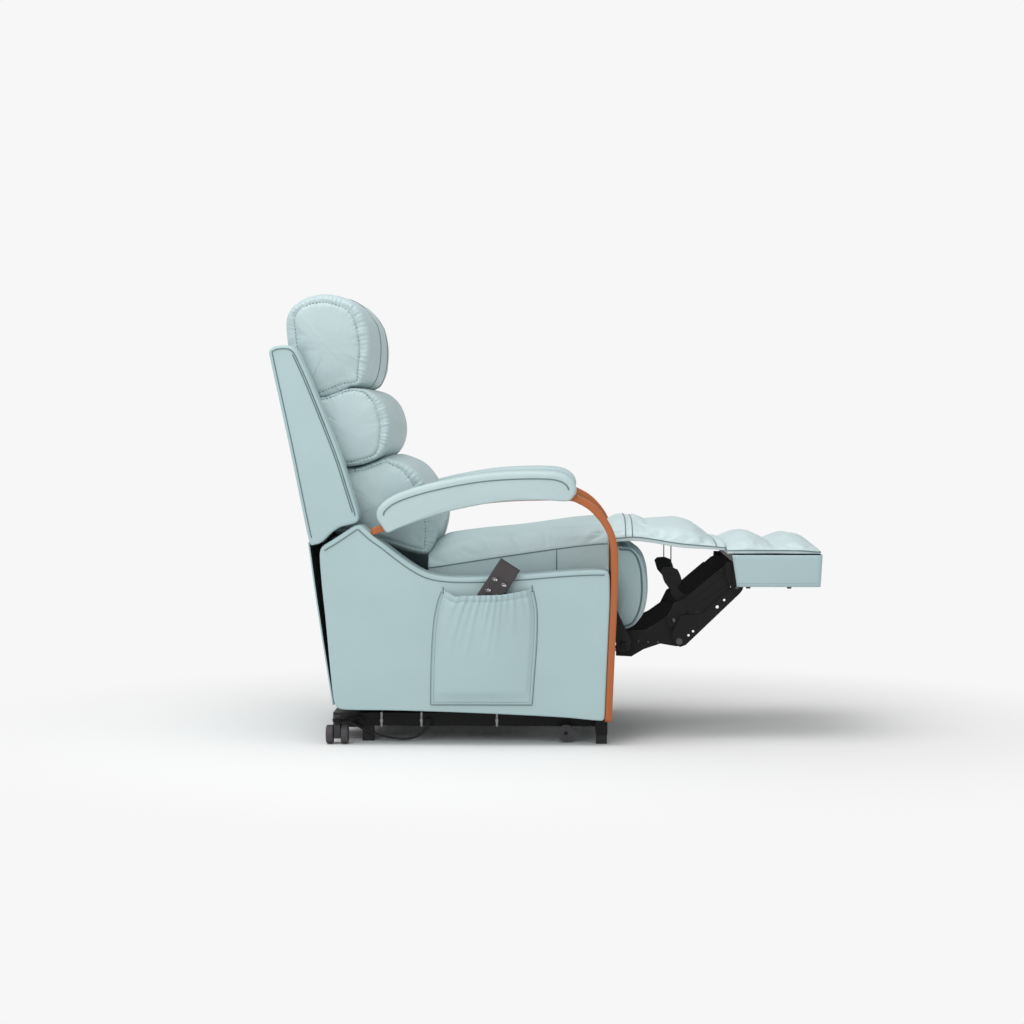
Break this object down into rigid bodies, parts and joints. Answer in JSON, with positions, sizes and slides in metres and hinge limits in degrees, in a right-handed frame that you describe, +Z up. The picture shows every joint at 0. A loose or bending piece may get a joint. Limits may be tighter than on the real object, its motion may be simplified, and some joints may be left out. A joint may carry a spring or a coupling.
{
  "type": "lift recliner chair",
  "caption": "Upholstered lift recliner armchair on a hinged steel lift base, with bentwood arms, pillow back, raised footrest and a side pocket with a handset.",
  "frame": {"origin": "on the floor, in the middle of the length and width of the chair with its footrest out and its back upright", "axes": "+X is the front, where the footrest is; +Y is the sitter's left; +Z is up"},
  "size_m": [1.34, 0.809, 1.095],
  "materials": {
    "upholstery_side": "smooth faux leather, matte to satin",
    "upholstery_pad": "smooth faux leather, matte to satin",
    "black_steel": "satin black paint",
    "wood": "satin lacquered beech, reddish",
    "board": "black painted board",
    "rubber": "matte black",
    "grey_plastic": "dark grey moulded",
    "handset_plastic": "dark grey, glossy",
    "bright_steel": "polished ram rod"
  },
  "bodies": {
    "base": {"base_rail_left": "black_steel", "base_rail_right": "black_steel", "front_crossbar": "black_steel", "rear_crossbar": "black_steel", "front_foot_left": "rubber", "front_foot_right": "rubber", "rear_foot_left": "rubber", "rear_foot_right": "rubber", "power_box": "grey_plastic", "cable": "rubber"},
    "castor_left": {"castor_fork_left": "grey_plastic"},
    "castor_wheels_left": {"castor_wheels_left": "grey_plastic"},
    "castor_right": {"castor_fork_right": "grey_plastic"},
    "castor_wheels_right": {"castor_wheels_right": "grey_plastic"},
    "roller_left": {"transport_roller_left": "grey_plastic"},
    "roller_right": {"transport_roller_right": "grey_plastic"},
    "lift_arms": {"lift_arm_left": "black_steel", "lift_arm_right": "black_steel", "lift_cross_tube": "black_steel"},
    "front_links": {"front_link_left": "black_steel", "front_link_right": "black_steel"},
    "lift_motor": {"lift_motor": "grey_plastic"},
    "lift_rod": {"lift_rod": "bright_steel"},
    "chassis": {"chassis_rear_bar": "black_steel", "chassis_mid_bar": "black_steel", "seat_frame": "black_steel", "side_panel_left": "upholstery_side", "side_panel_right": "upholstery_side", "arm_strut_left": "wood", "arm_strut_right": "wood", "arm_pad_left": "upholstery_pad", "arm_pad_right": "upholstery_pad", "side_pocket": "upholstery_side", "seat_cushion": "upholstery_pad", "front_apron": "upholstery_side", "rear_skirt": "upholstery_side"},
    "handset": {"handset": "handset_plastic"},
    "button_lift_up": {"button_lift_up": "handset_plastic"},
    "button_lift_down": {"button_lift_down": "handset_plastic"},
    "button_recline": {"button_recline": "handset_plastic"},
    "button_upright": {"button_upright": "handset_plastic"},
    "backrest": {"back_board": "board", "wing_left": "upholstery_side", "wing_right": "upholstery_side", "head_pillow": "upholstery_pad", "mid_pillow": "upholstery_pad", "lumbar_pillow": "upholstery_pad"},
    "recline_motor": {"recline_motor": "grey_plastic"},
    "recline_rod": {"recline_rod": "bright_steel"},
    "leg_crank": {"leg_crank": "black_steel"},
    "leg_plates": {"leg_plate_left": "black_steel", "leg_plate_right": "black_steel"},
    "leg_channels": {"leg_channel_left": "black_steel", "leg_channel_right": "black_steel"},
    "footrest": {"footrest_tray": "board", "footrest_pad": "upholstery_pad"},
    "calf_rest": {"calf_pad": "upholstery_pad", "calf_bracket": "black_steel"},
    "leg_motor": {"footrest_motor": "grey_plastic"},
    "leg_rod": {"footrest_rod": "bright_steel"}
  },
  "joints": [
    {"name": "lift", "type": "hinge", "parent": "base", "child": "lift_arms", "pos_m": [0, 0, 0.052], "axis": [0, 1, 0], "range_deg": [0, 40]},
    {"name": "chassis_tilt", "type": "hinge", "parent": "lift_arms", "child": "chassis", "pos_m": [-0.46, 0, 0.085], "axis": [0, 1, 0], "range_deg": [-15.1, 0]},
    {"name": "front_link_swing", "type": "hinge", "parent": "base", "child": "front_links", "pos_m": [0.062, 0, 0.08], "axis": [0, 1, 0], "range_deg": [0, 46]},
    {"name": "lift_motor_tilt", "type": "hinge", "parent": "base", "child": "lift_motor", "pos_m": [-0.415, 0, 0.055], "axis": [0, 1, 0], "range_deg": [-1, 0]},
    {"name": "lift_rod_out", "type": "slide", "parent": "lift_motor", "child": "lift_rod", "axis": [0.9898, 0, 0.1425], "range_m": [0, 0.048]},
    {"name": "recline", "type": "hinge", "parent": "chassis", "child": "backrest", "pos_m": [-0.439, 0, 0.373], "axis": [0, 1, 0], "range_deg": [-35, 0]},
    {"name": "recline_motor_tilt", "type": "hinge", "parent": "chassis", "child": "recline_motor", "pos_m": [-0.08, 0, 0.29], "axis": [0, 1, 0], "range_deg": [0, 2.2]},
    {"name": "recline_rod_in", "type": "slide", "parent": "recline_motor", "child": "recline_rod", "axis": [-0.9999, 0, -0.0136], "range_m": [-0.0525, 0]},
    {"name": "footrest", "type": "hinge", "parent": "chassis", "child": "leg_crank", "pos_m": [0.185, 0, 0.235], "axis": [0, 1, 0], "range_deg": [0, 60]},
    {"name": "leg_plate_turn", "type": "hinge", "parent": "leg_crank", "child": "leg_plates", "pos_m": [0.322, 0, 0.243], "axis": [0, 1, 0], "range_deg": [-95.1, 0]},
    {"name": "leg_channel_turn", "type": "hinge", "parent": "leg_crank", "child": "leg_channels", "pos_m": [0.309, 0, 0.294], "axis": [0, 1, 0], "range_deg": [-103, 0]},
    {"name": "tray_turn", "type": "hinge", "parent": "leg_plates", "child": "footrest", "pos_m": [0.462, 0, 0.377], "axis": [0, 1, 0], "range_deg": [0, 125.1]},
    {"name": "calf_turn", "type": "hinge", "parent": "chassis", "child": "calf_rest", "pos_m": [0.215, 0, 0.49], "axis": [0, 1, 0], "range_deg": [0, 34.1]},
    {"name": "leg_motor_tilt", "type": "hinge", "parent": "chassis", "child": "leg_motor", "pos_m": [-0.16, 0.1, 0.2], "axis": [0, 1, 0], "range_deg": [0, 0.5]},
    {"name": "leg_rod_in", "type": "slide", "parent": "leg_motor", "child": "leg_rod", "axis": [0.9997, 0, -0.0224], "range_m": [-0.0502, 0]},
    {"name": "handset_pull", "type": "slide", "parent": "chassis", "child": "handset", "axis": [0.5446, 0, 0.8387], "range_m": [0, 0.12]},
    {"name": "button_lift_up_press", "type": "slide", "parent": "handset", "child": "button_lift_up", "axis": [0, 1, 0], "range_m": [0, 0.0012], "stiffness_N_per_m": 400},
    {"name": "button_lift_down_press", "type": "slide", "parent": "handset", "child": "button_lift_down", "axis": [0, 1, 0], "range_m": [0, 0.0012], "stiffness_N_per_m": 400},
    {"name": "button_recline_press", "type": "slide", "parent": "handset", "child": "button_recline", "axis": [0, 1, 0], "range_m": [0, 0.0012], "stiffness_N_per_m": 400},
    {"name": "button_upright_press", "type": "slide", "parent": "handset", "child": "button_upright", "axis": [0, 1, 0], "range_m": [0, 0.0012], "stiffness_N_per_m": 400},
    {"name": "castor_left_swivel", "type": "hinge", "parent": "base", "child": "castor_left", "pos_m": [-0.511, 0.33, 0.0235], "axis": [0, 0, 1], "continuous": true},
    {"name": "castor_left_roll", "type": "hinge", "parent": "castor_left", "child": "castor_wheels_left", "pos_m": [-0.511, 0.342, 0.0235], "axis": [1, 0, 0], "continuous": true},
    {"name": "roller_left_roll", "type": "hinge", "parent": "base", "child": "roller_left", "pos_m": [0.044, 0, 0.0235], "axis": [0, 1, 0], "continuous": true},
    {"name": "castor_right_swivel", "type": "hinge", "parent": "base", "child": "castor_right", "pos_m": [-0.511, -0.33, 0.0235], "axis": [0, 0, 1], "continuous": true},
    {"name": "castor_right_roll", "type": "hinge", "parent": "castor_right", "child": "castor_wheels_right", "pos_m": [-0.511, -0.342, 0.0235], "axis": [1, 0, 0], "continuous": true},
    {"name": "roller_right_roll", "type": "hinge", "parent": "base", "child": "roller_right", "pos_m": [0.044, 0, 0.0235], "axis": [0, 1, 0], "continuous": true}
  ],
  "couplings": [
    {"joint": "chassis_tilt", "follows": "lift", "ratio": -0.375},
    {"joint": "front_link_swing", "follows": "lift", "ratio": 1.1362},
    {"joint": "lift_motor_tilt", "follows": "lift", "ratio": -0.019136},
    {"joint": "lift_rod_out", "follows": "lift", "m_per_rad": 0.067795},
    {"joint": "recline_motor_tilt", "follows": "recline", "ratio": -0.055164},
    {"joint": "recline_rod_in", "follows": "recline", "m_per_rad": 0.084948},
    {"joint": "leg_plate_turn", "follows": "footrest", "ratio": -1.5833},
    {"joint": "leg_channel_turn", "follows": "footrest", "ratio": -1.6847},
    {"joint": "tray_turn", "follows": "footrest", "ratio": 2.0833},
    {"joint": "calf_turn", "follows": "footrest", "ratio": 0.56667},
    {"joint": "leg_motor_tilt", "follows": "footrest", "ratio": 0.003347},
    {"joint": "leg_rod_in", "follows": "footrest", "m_per_rad": -0.047732}
  ]
}
